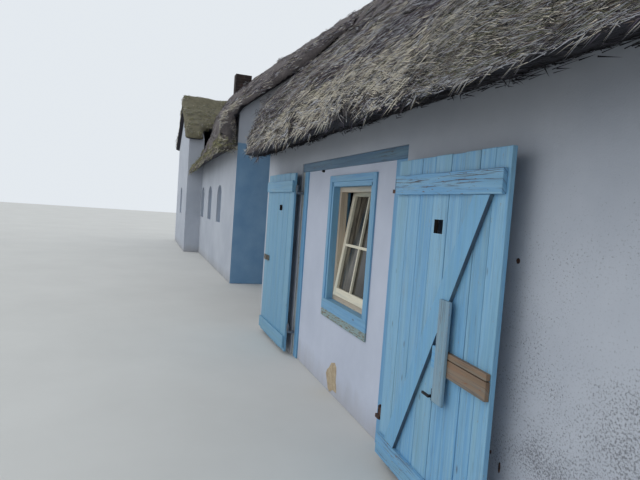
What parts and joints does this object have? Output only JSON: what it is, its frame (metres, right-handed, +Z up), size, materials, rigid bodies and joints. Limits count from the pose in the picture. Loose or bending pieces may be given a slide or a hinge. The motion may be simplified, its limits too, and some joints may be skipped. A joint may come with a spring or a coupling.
{
  "type": "thatched cottage",
  "caption": "Long low thatched cottage with limewashed walls, a doorway with two boarded swinging leaves over an infill panel and window, a covered recess and a cross wing.",
  "frame": {"origin": "on the ground, under the middle of the house's bounding box", "axes": "+X along the front toward the near end of the house, +Y from the front with the doorway into the house, +Z up"},
  "size_m": [20.29, 6.6, 6.3359],
  "materials": {
    "limewash": "matt limewash on rough plaster",
    "blue_wall_paint": "matt blue wall paint on plaster",
    "blue_paint": "weathered light blue paint on softwood",
    "dark_blue_paint": "dark blue paint, worn",
    "cream_paint": "cream gloss paint, slightly dirty",
    "bare_wood": "bare weathered softwood",
    "thatch": "old weathered reed thatch",
    "iron": "dark rusty wrought iron",
    "glass": "old clear window glass",
    "dark_brick": "sooty brick",
    "floor": "trodden brick floor"
  },
  "bodies": {
    "house": {"near_front_wall_left": "limewash", "near_front_wall_right": "limewash", "near_front_wall_over_doorway": "limewash", "near_right_end_wall": "limewash", "recess_walls": "limewash", "near_rear_wall": "limewash", "near_rear_window": "blue_paint", "near_floor": "floor", "lintel": "blue_paint", "left_jamb_post": "blue_paint", "right_jamb_post": "blue_paint", "infill_panel": "limewash", "window_casing": "blue_paint", "window_inner_frame": "cream_paint", "window_sash": "cream_paint", "window_glass": "glass", "left_lower_pintle": "iron", "left_upper_pintle": "iron", "right_lower_pintle": "iron", "right_upper_pintle": "iron", "next_front_wall": "limewash", "next_front_window_1": "blue_paint", "next_front_window_2": "blue_paint", "next_front_window_3": "blue_paint", "next_gable_wall": "blue_wall_paint", "next_far_end_wall": "limewash", "chimney": "dark_brick", "next_rear_wall": "limewash", "next_rear_window": "blue_paint", "next_floor": "floor", "wing_front_wall": "limewash", "wing_front_window": "blue_paint", "wing_far_wall": "limewash", "wing_rear_wall": "limewash", "near_roof_thatch": "thatch", "next_roof_thatch": "thatch", "wing_roof_thatch": "thatch"},
    "left_leaf": {"left_leaf_boards": "blue_paint", "left_leaf_top_ledge": "blue_paint", "left_leaf_bottom_ledge": "blue_paint", "left_leaf_latch": "iron"},
    "right_leaf": {"right_leaf_boards": "blue_paint", "right_leaf_top_ledge": "blue_paint", "right_leaf_bottom_ledge": "blue_paint", "right_leaf_middle_ledge_stub": "blue_paint", "right_leaf_middle_ledge": "bare_wood", "right_leaf_brace": "blue_paint", "right_leaf_batten": "dark_blue_paint", "right_leaf_hook": "iron"}
  },
  "joints": [
    {"name": "left_leaf_hinge", "type": "hinge", "parent": "house", "child": "left_leaf", "pos_m": [4.295, -2.858, 0.9], "axis": [0, 0, 1], "range_deg": [0, 179]},
    {"name": "right_leaf_hinge", "type": "hinge", "parent": "house", "child": "right_leaf", "pos_m": [6.45, -2.858, 0.9], "axis": [0, 0, -1], "range_deg": [0, 178]}
  ]
}
